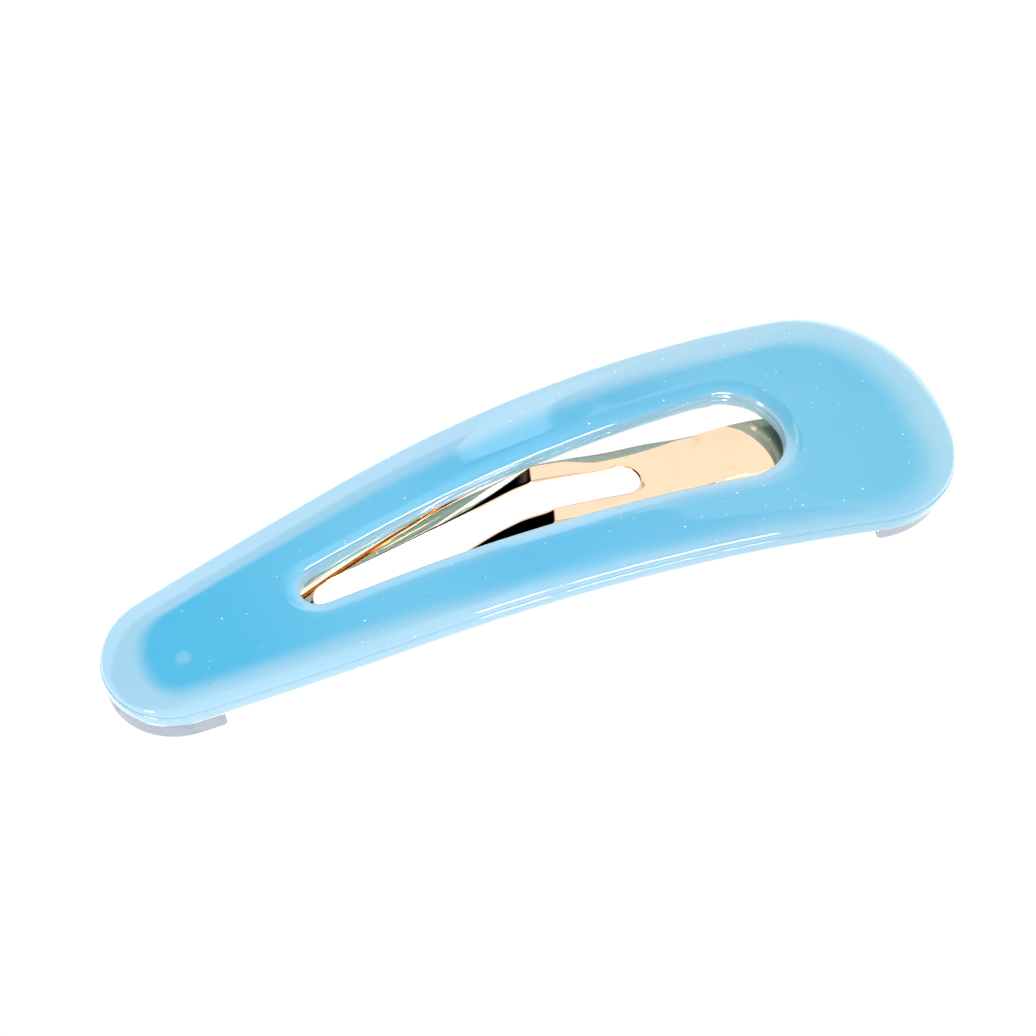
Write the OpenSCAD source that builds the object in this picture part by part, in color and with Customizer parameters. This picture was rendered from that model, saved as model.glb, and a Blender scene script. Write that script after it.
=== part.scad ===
// Snap hair clip: a cast resin cover over a spring metal clip, closed and lying on its two end lips.
// Every piece is laid out flat first: s runs from the narrow tip along the back, y runs across and
// h is the height over the middle of the cover. place() then bends the flat layout into the arch.

/* [Cover] */
// Length of the clip, along its curved back
clip_length = 85; // [80:1:92]
// Thickness of the cast cover
cover_t = 2.3; // [1.8:0.1:2.8]
// Radius of the narrow tip, seen from above
tip_r = 7.1; // [6.5:0.1:7.6]
// Radius of the two corners of the wide end
shoulder_r = 11.1; // [10:0.1:12]
// Distance of each corner's centre from the middle line
shoulder_y = 1.8; // [1.2:0.1:2.4]
// Radius of the flat stretch across the wide end
end_r = 22.2; // [20:0.1:30]
// Radius of the long, nearly straight sides
side_r = 575; // [400:25:900]
// How much higher the middle of the clip is than its widest edges
crown = 0.4; // [0.2:0.05:0.8]
// Radius of the cover's upper edge
edge_r = 0.6; // [0.4:0.05:0.8]
// Bevel of the cover's lower outer edge
bevel = 0.3; // [0.15:0.05:0.4]
// Bevel of the cover's lower edge round the opening
rim_bevel = 0.5; // [0.3:0.05:0.6]
// Width of the soft slope along the outer edge
slope_w = 3; // [2:0.1:3.6]
// Fall of the soft slope along the outer edge
slope_drop = 0.6; // [0.3:0.05:0.8]

/* [Opening in the cover] */
// Distance from the narrow tip to the opening
opening_start = 19.9; // [18:0.1:24]
// Distance from the opening to the wide end
opening_back = 16.8; // [14:0.1:19]
// Radius of the opening's narrow end
opening_tip_r = 2.14; // [2:0.02:2.6]
// Radius of the opening's wide end
opening_end_r = 5.06; // [4.8:0.02:5.6]
// Width of the soft slope round the opening
rim_w = 1.8; // [1.2:0.1:2.2]
// Fall of the soft slope round the opening
rim_drop = 0.55; // [0.3:0.05:0.6]

/* [Arch] */
// Length of the straight stretch at the narrow tip
straight_length = 28; // [20:1:32]
// Radius of the arch behind the straight stretch
arch_r = 104; // [90:1:140]

/* [Frame] */
// Thickness of the spring metal sheet
sheet_t = 0.5; // [0.4:0.05:0.6]
// Depth of the turned down lip at the narrow tip, below the cover
tip_lip_drop = 1.8; // [1.5:0.05:2.4]
// Depth of the turned down lip at the wide end, below the cover
end_lip_drop = 1.45; // [1.25:0.05:2.4]
// Radius of the bend at the top of the lips
bend_r = 0.3; // [0.2:0.05:0.35]
// Distance of the tip lip from the cover's edge
tip_inset = 0.1; // [0.05:0.05:0.3]
// Distance of the frame's arms from the cover's edge
arm_inset = 1; // [0.7:0.05:1.4]
// Distance of the wide end's lip from the cover's edge
end_inset = 0.4; // [0.2:0.05:0.6]
// How far the tip lip runs on along the sides
tip_lip_run = 2.6; // [1:0.1:4]
// How far the wide end's lip runs on along the sides
end_lip_run = 0.1; // [0.1:0.1:4]
// Distance from the narrow tip to the frame's window
window_start = 19; // [18:0.1:19.5]
// Distance from the frame's window to the wide end
window_back = 11.6; // [10.5:0.1:12]
// Radius of the window's narrow end
window_tip_r = 1; // [0.9:0.05:1.5]
// Radius of the window's wide end
window_end_r = 5.7; // [5.4:0.05:6.2]
// Radius of the window's curved sides
window_side_r = 200; // [170:5:220]

/* [Tongue] */
// Width of the tongue at its root and along the hidden part of its legs
root_w = 5.5; // [5:0.1:5.6]
// Width of the tongue at its crest
crest_w = 7.2; // [6.8:0.1:7.2]
// Width of the tongue where it is narrowest behind the slot
waist_w = 5.9; // [5.5:0.1:6.2]
// Distance from the crest to the narrowest place
waist_back = 13.9; // [12:0.1:16]
// Distance from the narrowest place to the full width of the pad
waist_run = 7.6; // [5:0.1:9]
// Width of the tongue's pad
pad_w = 6.2; // [5.8:0.1:6.6]
// Distance from the narrow tip to the line where the tongue flexes
flex_at = 14.2; // [13:0.1:15]
// Distance from the narrow tip to the place where the legs start to rise
rise_at = 28; // [27:0.5:32]
// Distance from the narrow tip to the place where the legs reach their full width
full_width_at = 36.5; // [35:0.5:44]
// How steeply the legs curve up towards the crest
rise_power = 2.1; // [1.8:0.1:2.6]
// Distance from the narrow tip to the crest, a crease across the tongue
crest_at = 44.3; // [42:0.1:47]
// Height of the crest's top over the cover's underside
crest_lift = 1.22; // [0.8:0.02:1.6]
// Distance from the tongue's end to the wide end
tongue_back = 6; // [5:0.1:7]
// Distance from the narrow tip to the slot
slot_start = 21; // [20:0.1:23]
// Distance from the narrow tip to the slot's far end
slot_end = 54; // [50:0.5:56]
// Width of the slot between the legs
slot_w = 3.75; // [3.4:0.05:3.8]
// Width of the slot at its far end
slot_end_w = 3.3; // [3:0.05:3.5]

/* [Rivet] */
// Distance from the narrow tip to the rivet
rivet_at = 9; // [8:0.1:10]
// Radius of the rivet's shank
rivet_r = 1.2; // [0.9:0.05:1.4]
// Radius of the rivet's head under the tongue's root
rivet_head_r = 2; // [1.8:0.05:2.3]
// Thickness of the rivet's head
rivet_head_t = 0.35; // [0.25:0.05:0.4]

/* [Fits] */
// Glue line between the cover and the frame
glue_gap = 0.1; // [0.05:0.05:0.15]
// Gap between the frame and the tongue below it
sheet_gap = 0.1; // [0.05:0.05:0.15]
// Gap at the flex line, between the root plate and the tongue
flex_gap = 0.2; // [0.15:0.05:0.3]
// Gap round the rivet's shank
shank_gap = 0.05; // [0.03:0.01:0.08]

/* [Hidden] */

// Steps along each half of an outline
tip_steps = 8;
side_steps = 13;
shoulder_steps = 8;
end_steps = 3;
// Length of the slanted end of a lip
lip_fade = 0.3;

// The pad's line behind the crest: how far along it is, and its height as a share of the crest's
PAD_LINE = [
    // share, lift
    [0.000,  1.00],
    [0.115,  0.55],
    [0.210,  0.16],
    [0.300, -0.04],
    [0.400, -0.10],
    [0.500, -0.04],
    [0.600,  0.10],
    [0.680,  0.12],
    [0.760,  0.05],
    [0.830,  0.00],
    [1.000,  0.00],
];

// Heights, with 0 at the middle of the cover
under_cover = -cover_t / 2;
frame_top = under_cover - glue_gap;
frame_bottom = frame_top - sheet_t;
tongue_top = frame_bottom - sheet_gap;
tip_lip_bottom = under_cover - tip_lip_drop;
end_lip_bottom = under_cover - end_lip_drop;
crest_top = under_cover + crest_lift;
half_w = shoulder_y + shoulder_r;
tongue_end = clip_length - tongue_back;

function smooth(x) = let (t = min(1, max(0, x))) t * t * (3 - 2 * t);
function mix(a, b, t) = a + (b - a) * t;
function dir(a) = [cos(a), sin(a)];
function reversed(list) = [for (i = [len(list) - 1:-1:0]) list[i]];

// The arch: from the flat layout to the bent side view
function arch(s, h) = let (u = s - straight_length)
    u < 0 ? [u, h] : [(arch_r + h) * sin(deg(u)), (arch_r + h) * cos(deg(u)) - arch_r];
function deg(u) = u / arch_r * 180 / PI;

// The lips' lowest corners level the clip, and the cover's ends centre it
tip_foot = arch(tip_inset, tip_lip_bottom + crown);
end_foot = arch(clip_length - end_inset, end_lip_bottom + crown);
tilt = atan2(end_foot.y - tip_foot.y, end_foot.x - tip_foot.x);
function level(p) = [p.x * cos(tilt) + p.y * sin(tilt), p.y * cos(tilt) - p.x * sin(tilt)];
wall_top = cover_t / 2 - slope_drop;
centre_x = (level(arch(0, wall_top + crown)).x + level(arch(clip_length, wall_top + crown)).x) / 2;
floor_z = level(tip_foot).y;

function place(s, y, h) = let (p = level(arch(s, h + crown * (1 - pow(y / half_w, 2)))))
    [p.x - centre_x, y, p.y - floor_z];

// An outline is a list of rays, each with its arc's centre, radius and angle, so that an inset is
// exact. It starts at the tip, goes round by +y and comes back by -y.
function ray_point(ray, inset) = [ray[0], ray[1]] + (ray[2] - inset) * dir(ray[3]);
function side_centre(c0, r0, c1, r1, rs) = let (
        span = norm(c1 - c0),
        e = (c1 - c0) / span,
        u = (pow(rs - r0, 2) - pow(rs - r1, 2) + span * span) / (2 * span),
        w = sqrt(pow(rs - r0, 2) - u * u))
    c0 + e * u + [e.y, -e.x] * w;
function angle_of(v) = atan2(v.y, v.x);
function half_rays(c0, r0, c1, r1, c2, r2, rs, beta, shares) = let (
        cs = side_centre(c0, r0, c1, r1, rs),
        a0 = angle_of(c0 - cs),
        a1 = angle_of(c1 - cs),
        step = (180 - a0) / (tip_steps + 0.5))
    [
        for (i = [0:tip_steps]) [c0.x, c0.y, r0, 180 - (i + 0.5) * step],
        for (t = shares) [cs.x, cs.y, rs, mix(a0, a1, t)],
        for (i = [1:shoulder_steps]) [c1.x, c1.y, r1, mix(a1, beta, i / shoulder_steps)],
        for (i = [1:(end_steps - 1) / 2]) [c2.x, c2.y, r2, beta * (1 - 2 * i / end_steps)],
    ];
function whole_rays(half) = concat(half, [for (r = reversed(half)) [r[0], -r[1], r[2], -r[3]]]);
function even_shares(n) = [for (i = [1:n]) i / n];

// The cover's outline
shoulder_x = clip_length - end_r + sqrt(pow(end_r - shoulder_r, 2) - shoulder_y * shoulder_y);
end_angle = asin(shoulder_y / (end_r - shoulder_r));
function outline_rays(shares) = whole_rays(half_rays([tip_r, 0], tip_r, [shoulder_x, shoulder_y],
    shoulder_r, [clip_length - end_r, 0], end_r, side_r, end_angle, shares));

// A teardrop hole, with one round end at each side
function hole_rays(start, end, r0, r1, rs, n) = whole_rays(half_rays([start + r0, 0], r0,
    [end - r1, 0], r1, [end - r1, 0], r1, rs, end_angle, even_shares(n)));
hole_side_r = 1400;

// A closed ring: each section is a list of [s, y, h], all with as many points
function ring_points(sections) = [for (sec = sections) for (p = sec) place(p[0], p[1], p[2])];
function ring_faces(n, m) = [
    for (i = [0:n - 1]) for (j = [0:m - 1]) let (
        a = i * m + j,
        b = i * m + (j + 1) % m,
        c = ((i + 1) % n) * m + (j + 1) % m,
        d = ((i + 1) % n) * m + j)
        for (f = [[a, c, b], [a, d, c]]) f
];
module ring(sections) {
    polyhedron(points = ring_points(sections), faces = ring_faces(len(sections), len(sections[0])));
}
function lift_points(points, h) = [for (p = points) [p.x, p.y, h]];
function across(a, b, rows) = [for (i = [1:rows]) mix(a, b, i / (rows + 1))];

// Cover: the cast ring, soft along both edges
cover_rows = 3;
function slope_h(d) = cover_t / 2 - slope_drop * pow(max(0, 1 - d / slope_w), 2);
function rim_h(d) = cover_t / 2 - rim_drop * pow(max(0, 1 - d / rim_w), 2);
function edge_point(a) = [edge_r * (1 - cos(a)), mix(wall_top - edge_r / 2, slope_h(edge_r), sin(a))];
function rim_point(a) = [edge_r / 2 * (1 - cos(a)), mix(wall_top, rim_h(edge_r / 2), sin(a))];
// Each edge as [distance in from it, height], from the bottom up
OUTER_EDGE = [
    [bevel, under_cover],
    [bevel * (1 - cos(45)), under_cover + bevel * (1 - sin(45))],
    [0, under_cover + bevel],
    edge_point(0), edge_point(35), edge_point(65), edge_point(90),
    for (t = [0.35, 0.7, 1]) [mix(edge_r, slope_w, t), slope_h(mix(edge_r, slope_w, t))],
];
RIM_EDGE = [
    [rim_bevel, under_cover],
    [0, under_cover + rim_bevel],
    rim_point(0), rim_point(45), rim_point(90),
    [rim_w, rim_h(rim_w)],
];
function edge_3d(ray, edge, side) = [for (e = edge)
    let (p = ray_point(ray, side * e[0])) [p.x, p.y, e[1]]];
function cover_section(outer, rim) = let (
        a = edge_3d(outer, OUTER_EDGE, 1),
        b = reversed(edge_3d(rim, RIM_EDGE, -1)))
    concat(a, across(a[len(a) - 1], b[0], cover_rows), b, across(b[len(b) - 1], a[0], cover_rows));

module cover() {
    outer = outline_rays(even_shares(side_steps));
    rim = hole_rays(opening_start, clip_length - opening_back, opening_tip_r, opening_end_r,
        hole_side_r, side_steps);
    color("skyblue")
        ring([for (i = [0:len(outer) - 1]) cover_section(outer[i], rim[i])]);
}

// Frame: one sheet with a window, and a lip turned down round each end
frame_rows = 3;
side_span = outline_span();
function outline_span() = let (
        cs = side_centre([tip_r, 0], tip_r, [shoulder_x, shoulder_y], shoulder_r, side_r),
        a0 = angle_of([tip_r, 0] - cs),
        a1 = angle_of([shoulder_x, shoulder_y] - cs))
    [cs.x + side_r * cos(a0), cs.x + side_r * cos(a1)];
tip_lip_end = side_span[0] + tip_lip_run;
end_lip_end = side_span[1] - end_lip_run;
function side_share(s) = (s - side_span[0]) / (side_span[1] - side_span[0]);
frame_arm_steps = side_steps - 5;
FRAME_SHARES = [
    side_share(tip_lip_end),
    side_share(tip_lip_end + lip_fade),
    for (i = [1:frame_arm_steps])
        side_share(mix(tip_lip_end + lip_fade, end_lip_end - lip_fade, i / (frame_arm_steps + 1))),
    side_share(end_lip_end - lip_fade),
    side_share(end_lip_end),
    1,
];
function frame_inset(s) = s < tip_lip_end + lip_fade / 2
    ? tip_inset
    : s > end_lip_end - lip_fade / 2 ? end_inset : arm_inset;
function lip_low(s) = s < tip_lip_end + lip_fade / 2
    ? tip_lip_bottom
    : s > end_lip_end - lip_fade / 2 ? end_lip_bottom : frame_bottom;
function frame_section(outer, window) = let (
        s = ray_point(outer, 0).x,
        inset = frame_inset(s),
        low = lip_low(s),
        low_w = low < frame_bottom ? sheet_t : sheet_t / 2,
        edge = [
            [inset + sheet_t, frame_bottom],
            [inset + low_w, low],
            [inset, low],
            [inset, frame_top - bend_r],
            [inset + bend_r * (1 - cos(45)), frame_top - bend_r * (1 - sin(45))],
            [inset + bend_r, frame_top],
        ],
        a = edge_3d(outer, edge, 1),
        b = edge_3d(window, [[0, frame_top], [0, frame_bottom]], -1))
    concat(a, across(a[len(a) - 1], b[0], frame_rows), b, across(b[1], a[0], frame_rows));

module frame() {
    outer = outline_rays(FRAME_SHARES);
    window = hole_rays(window_start, clip_length - window_back, window_tip_r, window_end_r,
        window_side_r, len(FRAME_SHARES));
    color("wheat") difference() {
        ring([for (i = [0:len(outer) - 1]) frame_section(outer[i], window[i])]);
        on_nose(rivet_at, frame_bottom - sheet_t) shank_hole();
    }
}

// Puts a flat piece on the straight nose, at the distance s from the tip and the height h
module on_nose(s, h) {
    translate(place(s, 0, h)) rotate([0, tilt, 0]) children();
}

// The hole for the rivet's shank, long enough to clear one sheet on both sides
module shank_hole() {
    cylinder(h = 3 * sheet_t, r = rivet_r + shank_gap, $fn = 32);
}

// Root plate: the riveted end of the tongue, up to the line where the spring metal flexes
module root_plate() {
    color("wheat") on_nose(rivet_at, tongue_top - sheet_t) difference() {
        linear_extrude(sheet_t) {
            circle(r = root_w / 2, $fn = 48);
            translate([0, -root_w / 2]) square([flex_at - rivet_at, root_w]);
        }
        translate([0, 0, -sheet_t]) shank_hole();
    }
}

// Rivet: a shank flush with the top of the frame, and a round head under the root plate
module rivet() {
    head_top = tongue_top - sheet_t - shank_gap;
    color("tan") on_nose(rivet_at, head_top - rivet_head_t) {
        cylinder(h = rivet_head_t, r1 = rivet_head_r - rivet_head_t / 2, r2 = rivet_head_r, $fn = 48);
        cylinder(h = frame_top - head_top + rivet_head_t, r = rivet_r, $fn = 48);
    }
}

// Tongue: two legs round the slot, the crest and the pad
function cell(table, x, i = 0) = i >= len(table) - 2 || x < table[i + 1][0] ? i : cell(table, x, i + 1);
function slope_at(table, i, k) = let (a = max(0, i - 1), b = min(len(table) - 1, i + 1))
    (table[b][k] - table[a][k]) / (table[b][0] - table[a][0]);
function along(table, x, k) = let (
        i = cell(table, x),
        w = table[i + 1][0] - table[i][0],
        t = (x - table[i][0]) / w,
        t2 = t * t,
        t3 = t2 * t)
    table[i][k] * (2 * t3 - 3 * t2 + 1) + table[i + 1][k] * (3 * t2 - 2 * t3)
    + slope_at(table, i, k) * w * (t3 - 2 * t2 + t) + slope_at(table, i + 1, k) * w * (t3 - t2);
function tongue_h(s) = s < crest_at
    ? mix(tongue_top, crest_top, pow(max(0, (s - rise_at) / (crest_at - rise_at)), rise_power))
    : mix(tongue_top, crest_top, along(PAD_LINE, min(1, (s - crest_at) / (tongue_end - crest_at)), 1));
// Half widths along the tongue, blended between the root, the crest, the waist and the pad
waist_at = crest_at + waist_back;
pad_at = waist_at + waist_run;
function tongue_y(s) = s < crest_at
    ? mix(root_w, crest_w, smooth((s - rise_at) / (full_width_at - rise_at))) / 2
    : s < waist_at
    ? mix(crest_w, waist_w, smooth((s - crest_at) / (waist_at - crest_at))) / 2
    : mix(waist_w, pad_w, smooth((s - waist_at) / (pad_at - waist_at))) / 2;

tongue_start = flex_at + flex_gap;
tongue_rows = 7;
slot_tip_x = slot_start + slot_w / 2;
slot_end_x = slot_end - slot_end_w / 2;
pad_round = pad_w / 2;
corner_x = tongue_end - pad_round;
root_steps = 4;
leg_steps = 8;
neck_steps = 4;
pad_steps = 6;
tip_turns = 4;
far_steps = pad_steps + tip_turns;
leg_stops = [for (i = [1:leg_steps]) mix(slot_tip_x, crest_at, i / leg_steps)];
neck_stops = [for (i = [1:neck_steps]) mix(crest_at, slot_end_x, i / neck_steps)];
function slot_y(s) = mix(slot_w, slot_end_w, smooth((s - crest_at) / (slot_end_x - crest_at))) / 2;
SLOT_HALF = [
    for (i = [0:root_steps]) [slot_tip_x, 0] + slot_w / 2 * dir(180 - 90 * i / root_steps),
    for (s = leg_stops) [s, slot_y(s)],
    for (s = neck_stops) [s, slot_y(s)],
    for (i = [1:far_steps]) [slot_end_x, 0] + slot_end_w / 2 * dir(90 - 90 * i / far_steps),
];
TONGUE_HALF = [
    [tongue_start, 0],
    [tongue_start, root_w / 4],
    [tongue_start, root_w / 2],
    [mix(tongue_start, slot_tip_x, 0.5), root_w / 2],
    [slot_tip_x, tongue_y(slot_tip_x)],
    for (s = leg_stops) [s, tongue_y(s)],
    for (s = neck_stops) [s, tongue_y(s)],
    for (i = [1:pad_steps]) let (s = mix(slot_end_x, corner_x, i / pad_steps)) [s, tongue_y(s)],
    for (i = [1:tip_turns]) [corner_x, 0] + pad_round * dir(90 - 90 * i / tip_turns),
];
// Both halves meet on the middle line, so the mirrored half leaves its two end points out
function closed(half) = concat(half, [for (i = [len(half) - 2:-1:1]) [half[i].x, -half[i].y]]);
function tongue_section(outer, slot) = let (
        flat = concat([outer], across(outer, slot, tongue_rows), [slot]),
        top = [for (p = flat) [p.x, p.y, tongue_h(p.x)]],
        bottom = [for (p = reversed(flat)) [p.x, p.y, tongue_h(p.x) - sheet_t]])
    concat(top, bottom);

module tongue() {
    outer = closed(TONGUE_HALF);
    slot = closed(SLOT_HALF);
    color("wheat")
        ring([for (i = [0:len(outer) - 1]) tongue_section(outer[i], slot[i])]);
}

cover();
frame();
root_plate();
rivet();
tongue();
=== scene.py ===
import bpy
import math
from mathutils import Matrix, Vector


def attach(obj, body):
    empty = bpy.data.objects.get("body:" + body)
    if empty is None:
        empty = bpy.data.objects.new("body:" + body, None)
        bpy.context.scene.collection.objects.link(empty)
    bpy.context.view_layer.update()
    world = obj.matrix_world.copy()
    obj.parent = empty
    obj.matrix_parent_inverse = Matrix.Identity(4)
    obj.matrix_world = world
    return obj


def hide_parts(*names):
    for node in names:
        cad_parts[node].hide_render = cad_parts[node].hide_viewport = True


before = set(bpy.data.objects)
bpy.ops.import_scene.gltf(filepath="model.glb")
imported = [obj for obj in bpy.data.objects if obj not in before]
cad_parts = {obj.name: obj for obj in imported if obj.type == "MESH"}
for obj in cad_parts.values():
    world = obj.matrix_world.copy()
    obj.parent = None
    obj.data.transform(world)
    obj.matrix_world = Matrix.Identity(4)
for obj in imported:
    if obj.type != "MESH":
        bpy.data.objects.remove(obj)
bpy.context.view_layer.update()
MM = 0.001

# Camera: a long lens looks down on the clip from the front left. The clip's middle lies a little
# right of and below the middle of the square picture.
LOOK_FROM = math.radians(-23.6)
LOOK_DOWN = math.radians(51.4)
CAMERA_DISTANCE = 2.5
PICTURE_SIDE = 1036
PIXELS_PER_MM = 10.83
CLIP_MIDDLE = (524.3, 564.1)

camera_data = bpy.data.cameras.new("camera")
camera = bpy.data.objects.new("camera", camera_data)
bpy.context.scene.collection.objects.link(camera)
bpy.context.scene.camera = camera
back = Vector((math.sin(LOOK_FROM) * math.cos(LOOK_DOWN), -math.cos(LOOK_FROM) * math.cos(LOOK_DOWN),
               math.sin(LOOK_DOWN)))
right = Vector((math.cos(LOOK_FROM), math.sin(LOOK_FROM), 0))
up = back.cross(right)
off_right = (PICTURE_SIDE / 2 - CLIP_MIDDLE[0]) / PIXELS_PER_MM * MM
off_up = (CLIP_MIDDLE[1] - PICTURE_SIDE / 2) / PIXELS_PER_MM * MM
camera.location = back * CAMERA_DISTANCE + right * off_right + up * off_up
camera.rotation_euler = back.to_track_quat("Z", "Y").to_euler()
camera_data.sensor_width = 36
camera_data.lens = 36 * CAMERA_DISTANCE / (PICTURE_SIDE / PIXELS_PER_MM * MM)
camera_data.clip_end = 20


# Floor and light: the clip lies on a pale sheet lit evenly from all round. A pale room is bright up to
# half way up the far side, where pale panels reach into the dark upper part. Lamps behind and beside
# the camera give the thin highlights along the edges, and a broad soft one overhead fills the shade.
def wire(tree, value, socket):
    if isinstance(value, bpy.types.NodeSocket):
        tree.links.new(value, socket)
    else:
        socket.default_value = value


def reckon(tree, operation, *values):
    node = tree.nodes.new("ShaderNodeMath")
    node.operation = operation
    for value, socket in zip(values, node.inputs):
        wire(tree, value, socket)
    return node.outputs[0]


def rise(tree, value, low, high):
    node = tree.nodes.new("ShaderNodeMapRange")
    node.interpolation_type = "SMOOTHSTEP"
    wire(tree, value, node.inputs["Value"])
    wire(tree, low, node.inputs["From Min"])
    wire(tree, high, node.inputs["From Max"])
    return node.outputs["Result"]


def band(tree, value, low, high, soft):
    above = rise(tree, value, low - soft, low + soft)
    below = rise(tree, value, high + soft, high - soft)
    return reckon(tree, "MULTIPLY", above, below)


SKY_LIGHT = 1.04
# Each panel's bearings from and to, and heights from and to, in degrees, with its soft edges' widths
FIRST_PANEL = (12.5, 24.0, 20.0, 50.8), (0.8, 0.5)
SECOND_PANEL = (30.5, 100.0, 20.0, 50.4), (0.5, 0.5)
GAP_PANEL = (28.6, 37.0, 44.2, 49.2), (0.6, 0.5)
SLANT_CUT = (77.0, 78.5)
FIRST_PANEL_LIGHT, SECOND_PANEL_LIGHT = 0.34, 0.13
DARK_FROM, DARK_TO = 36.0, 44.0
GLOW_BEARINGS, GLOW_LIGHT = (12.0, 46.0), 0.66
world = bpy.data.worlds.new("pale_room")
bpy.context.scene.world = world
world.use_nodes = True
room = world.node_tree
room.nodes.clear()
toward = room.nodes.new("ShaderNodeTexCoord").outputs["Generated"]
split = room.nodes.new("ShaderNodeSeparateXYZ")
room.links.new(toward, split.inputs[0])
height = reckon(room, "DEGREES", reckon(room, "ARCSINE", split.outputs["Z"]))
bearing = reckon(room, "DEGREES", reckon(room, "ARCTAN2", split.outputs["X"], split.outputs["Y"]))


def panel(bounds, soft):
    sideways = band(room, bearing, bounds[0], bounds[1], soft[0])
    return reckon(room, "MULTIPLY", sideways, band(room, height, bounds[2], bounds[3], soft[1]))


upper = rise(room, height, DARK_FROM, DARK_TO)
far_side = rise(room, split.outputs["Y"], -0.05, 0.12)
first_panel = panel(*FIRST_PANEL)
slant = rise(room, reckon(room, "ADD", height, bearing), *SLANT_CUT)
second_panel = reckon(room, "MULTIPLY", slant, panel(*SECOND_PANEL))
panels = reckon(room, "MAXIMUM", reckon(room, "MAXIMUM", first_panel, second_panel), panel(*GAP_PANEL))
dark = reckon(room, "MULTIPLY", upper, far_side)
dark = reckon(room, "MULTIPLY", dark, reckon(room, "SUBTRACT", 1.0, panels))
glow = reckon(room, "MULTIPLY", rise(room, bearing, *GLOW_BEARINGS), GLOW_LIGHT)
lit = reckon(room, "SUBTRACT", 1.0, reckon(room, "MULTIPLY", dark, reckon(room, "SUBTRACT", 1.0, glow)))
sky = room.nodes.new("ShaderNodeBackground")
sky.inputs["Color"].default_value = (1, 1, 1, 1)
brightness = reckon(room, "MULTIPLY_ADD", second_panel, SECOND_PANEL_LIGHT, SKY_LIGHT)
brightness = reckon(room, "MULTIPLY_ADD", first_panel, FIRST_PANEL_LIGHT, brightness)
room.links.new(reckon(room, "MULTIPLY", lit, brightness), sky.inputs["Strength"])
sky_out = room.nodes.new("ShaderNodeOutputWorld")
room.links.new(sky.outputs[0], sky_out.inputs[0])

LAMP_DISTANCE = 3.2
LAMPS = {
    # name: way to it, width and height as seen from the clip, glow, whether it only makes highlights
    "window_strip": ((0.26, -0.69, 0.67), 0.37, 0.09, 80, True),
    "window_end": ((0.0, -0.74, 0.66), 0.11, 0.42, 30, True),
    "side_window": ((-0.80, -0.30, 0.50), 0.16, 0.3, 25, True),
    "overhead_fill": ((0.0, 0.0, 1.0), 0.9, 0.9, 1.5, False),
}
for name, (way, width, tall, glow, highlight) in LAMPS.items():
    lamp_data = bpy.data.lights.new(name, "AREA")
    lamp_data.shape = "RECTANGLE"
    lamp_data.size, lamp_data.size_y = width * LAMP_DISTANCE, tall * LAMP_DISTANCE
    lamp_data.energy = glow * math.pi * lamp_data.size * lamp_data.size_y
    lamp = bpy.data.objects.new(name, lamp_data)
    lamp.location = Vector(way).normalized() * LAMP_DISTANCE
    lamp.rotation_euler = Vector(way).to_track_quat("Z", "Y").to_euler()
    lamp.visible_diffuse = not highlight
    lamp.visible_glossy = highlight
    bpy.context.scene.collection.objects.link(lamp)


def material(name):
    made = bpy.data.materials.new(name)
    made.use_nodes = True
    return made, made.node_tree, made.node_tree.nodes["Principled BSDF"]


FLOOR_HALF = 3.0
FLOOR_DROP = 0.1 * MM
FLOOR_GLOW, FLOOR_GLARE = 0.35, 0.6
SEEN_THROUGH = 0.9
floor_mesh = bpy.data.meshes.new("floor")
corners = [(x * FLOOR_HALF, y * FLOOR_HALF, -FLOOR_DROP) for x, y in ((-1, -1), (1, -1), (1, 1), (-1, 1))]
floor_mesh.from_pydata(corners, [], [(0, 1, 2, 3)])
floor = bpy.data.objects.new("floor", floor_mesh)
bpy.context.scene.collection.objects.link(floor)
pale_sheet, tree, coat = material("pale_sheet")
coat.inputs["Base Color"].default_value = (0.6, 0.6, 0.6, 1)
coat.inputs["Roughness"].default_value = 0.9
coat.inputs["Specular IOR Level"].default_value = 0
coat.inputs["Emission Color"].default_value = (1, 1, 1, 1)
light_path = tree.nodes.new("ShaderNodeLightPath")
glare = reckon(tree, "MULTIPLY_ADD", light_path.outputs["Is Glossy Ray"], FLOOR_GLARE, FLOOR_GLOW)
wire(tree, glare, coat.inputs["Emission Strength"])
# The camera sees mostly the white room through the sheet, so a tongue that swings below it still shows
clear = tree.nodes.new("ShaderNodeBsdfTransparent")
clear.inputs["Color"].default_value = (1, 1, 1, 1)
looked_at = tree.nodes.new("ShaderNodeMixShader")
looked_at.inputs["Fac"].default_value = SEEN_THROUGH
tree.links.new(coat.outputs[0], looked_at.inputs[1])
tree.links.new(clear.outputs[0], looked_at.inputs[2])
sheet = tree.nodes.new("ShaderNodeMixShader")
tree.links.new(light_path.outputs["Is Camera Ray"], sheet.inputs["Fac"])
tree.links.new(coat.outputs[0], sheet.inputs[1])
tree.links.new(looked_at.outputs[0], sheet.inputs[2])
tree.links.new(sheet.outputs[0], tree.nodes["Material Output"].inputs["Surface"])
floor_mesh.materials.append(pale_sheet)
bpy.context.scene.view_settings.view_transform = "Standard"

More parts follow.
